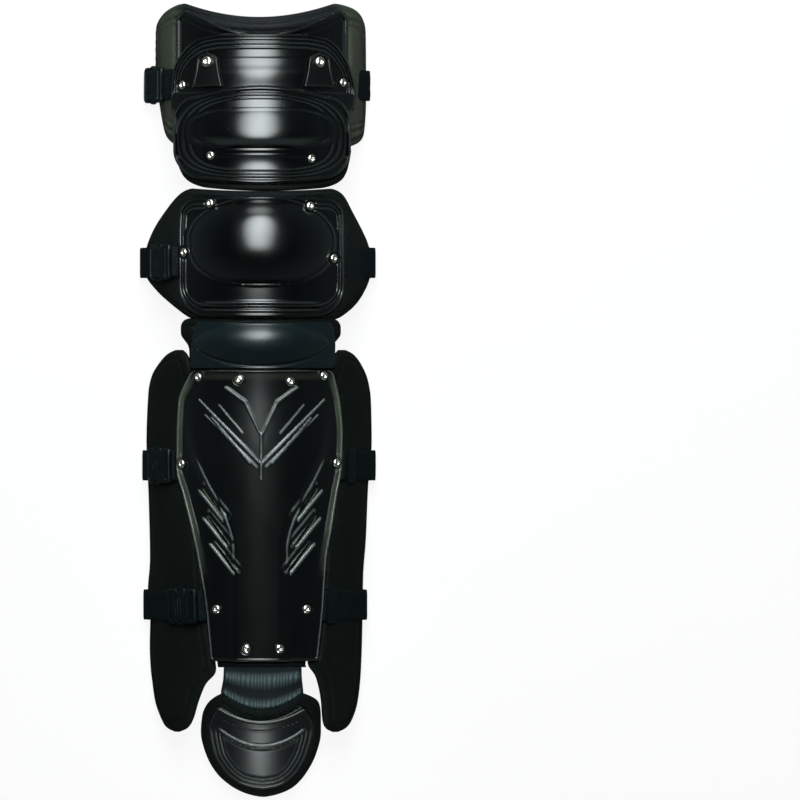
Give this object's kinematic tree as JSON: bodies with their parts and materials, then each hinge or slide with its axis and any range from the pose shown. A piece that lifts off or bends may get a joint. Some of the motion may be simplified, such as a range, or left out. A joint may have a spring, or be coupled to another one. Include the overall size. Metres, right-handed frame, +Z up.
{
  "type": "baseball leg guard",
  "caption": "Catcher's leg guard: hinged hard plates on padding bent round the thigh, knee, shin and instep, with webbing straps and side-release buckles behind the leg.",
  "frame": {"origin": "on the floor, under the middle of the guard as it lies on its back", "axes": "+Z up out of the guard's front, +Y from the toe to the thigh, +X to the right seen from the front"},
  "size_m": [0.1981, 0.669, 0.1191],
  "materials": {
    "hard_shell": "glossy near-black moulded plastic",
    "rubber_cup": "satin blue-black rubbery plastic",
    "pad_cover": "near-black synthetic leather over foam",
    "webbing": "woven near-black webbing",
    "buckle_plastic": "satin near-black moulded plastic",
    "rivet_metal": "bright nickel-plated steel"
  },
  "bodies": {
    "root": {"ankle_gusset": "pad_cover", "arch_plate": "hard_shell", "knee_buckle_clip": "buckle_plastic", "knee_buckle_socket": "buckle_plastic", "knee_buckle_tab": "webbing", "knee_strap": "webbing", "left_hinge_tab": "hard_shell", "left_shin_wing": "pad_cover", "lower_knee_cup": "hard_shell", "lower_knee_pad": "pad_cover", "lower_shin_buckle_clip": "buckle_plastic", "lower_shin_buckle_socket": "buckle_plastic", "lower_shin_buckle_tab": "webbing", "lower_shin_strap": "webbing", "lower_shin_strap_loop": "buckle_plastic", "right_hinge_tab": "hard_shell", "right_shin_wing": "pad_cover", "rivet_arch_left": "rivet_metal", "rivet_arch_right": "rivet_metal", "rivet_lower_cup_side_left": "rivet_metal", "rivet_lower_cup_side_right": "rivet_metal", "rivet_lower_cup_top_left": "rivet_metal", "rivet_lower_cup_top_right": "rivet_metal", "rivet_shin_foot_left": "rivet_metal", "rivet_shin_foot_right": "rivet_metal", "rivet_shin_low_left": "rivet_metal", "rivet_shin_low_right": "rivet_metal", "rivet_shin_side_left": "rivet_metal", "rivet_shin_side_right": "rivet_metal", "rivet_shin_top_1": "rivet_metal", "rivet_shin_top_2": "rivet_metal", "rivet_shin_top_3": "rivet_metal", "rivet_shin_top_4": "rivet_metal", "rivet_tab_left": "rivet_metal", "rivet_tab_right": "rivet_metal", "rivet_upper_cup_left": "rivet_metal", "rivet_upper_cup_right": "rivet_metal", "shin_liner": "pad_cover", "shin_plate": "hard_shell", "shin_top_cup": "rubber_cup", "thigh_buckle_clip": "buckle_plastic", "thigh_buckle_socket": "buckle_plastic", "thigh_buckle_tab": "webbing", "thigh_pad": "pad_cover", "thigh_shell": "hard_shell", "thigh_strap": "webbing", "toe_pad": "pad_cover", "toe_shell": "hard_shell", "upper_knee_cup": "hard_shell", "upper_knee_pad": "pad_cover", "upper_shin_buckle_clip": "buckle_plastic", "upper_shin_buckle_socket": "buckle_plastic", "upper_shin_buckle_tab": "webbing", "upper_shin_strap": "webbing", "upper_shin_strap_loop": "buckle_plastic"}
  },
  "joints": []
}
